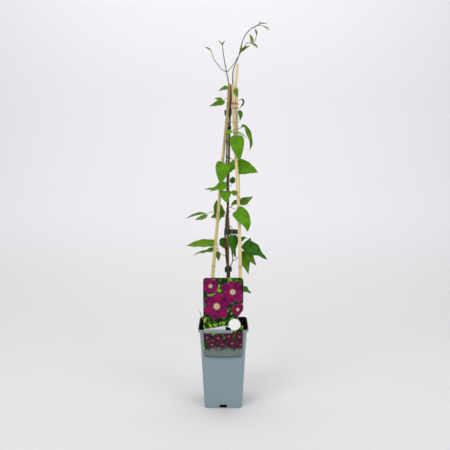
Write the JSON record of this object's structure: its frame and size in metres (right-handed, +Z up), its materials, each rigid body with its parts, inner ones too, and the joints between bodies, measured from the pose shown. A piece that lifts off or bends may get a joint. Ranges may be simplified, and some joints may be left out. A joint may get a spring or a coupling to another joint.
{
  "type": "potted clematis on a cane trellis",
  "caption": "Young climbing plant with compound leaves, tied to tall bamboo canes in a square tapered pot, with a hang card on the pot's rim",
  "frame": {"origin": "middle of the pot's flat base, on the surface that the pot stands on", "axes": "+Z up along the canes, +X to the viewer's right, +Y away from the front of the pot, which carries the label"},
  "size_m": [0.1822, 0.1109, 0.835],
  "materials": {
    "pot_plastic": "satin",
    "peat": "matte",
    "bamboo_tan": "satin",
    "bamboo_pale": "satin",
    "bamboo_olive": "satin",
    "bark": "matte",
    "shoot_green": "matte",
    "shoot_purple": "matte",
    "dry_stalk": "matte",
    "pale_wire": "satin",
    "ring_rubber": "matte",
    "tie_tape": "satin",
    "card": "satin",
    "leaf": "satin",
    "leaf_bright": "satin",
    "leaf_dark": "satin"
  },
  "bodies": {
    "root": {"pot": "pot_plastic", "soil": "peat", "cane_left": "bamboo_tan", "cane_right": "bamboo_pale", "cane_tall": "bamboo_pale", "cane_middle": "bamboo_olive", "stem_main": "bark", "stem_second": "bark", "shoot_left": "shoot_green", "shoot_right": "shoot_purple", "stalk": "dry_stalk", "band_wire": "pale_wire", "ring_upper": "ring_rubber", "ring_lower": "ring_rubber", "label": "card", "tape_top": "tie_tape", "tape_mid": "tie_tape", "tape_right": "tie_tape", "tape_low": "tie_tape", "leaf_cap_left": "leaf", "leaf_top_left": "leaf", "leaf_top_right": "leaf", "leaf_curl": "leaf_dark", "leaf_hang_right": "leaf_dark", "leaf_droop": "leaf", "leaf_large_hang": "leaf_bright", "leaf_broad_left": "leaf_bright", "leaf_broad_right": "leaf_bright", "leaf_forked_left": "leaf_bright", "leaf_small_dark": "leaf_dark", "leaf_centre": "leaf_bright", "leaf_twine_right": "leaf", "leaf_half_moon": "leaf_bright", "leaf_behind_left": "leaf", "leaf_long_left": "leaf", "leaf_round_left": "leaf_dark", "leaf_shade_right": "leaf_dark", "leaf_maple_right": "leaf_dark", "leaf_low_right": "leaf_dark"}
  },
  "joints": []
}
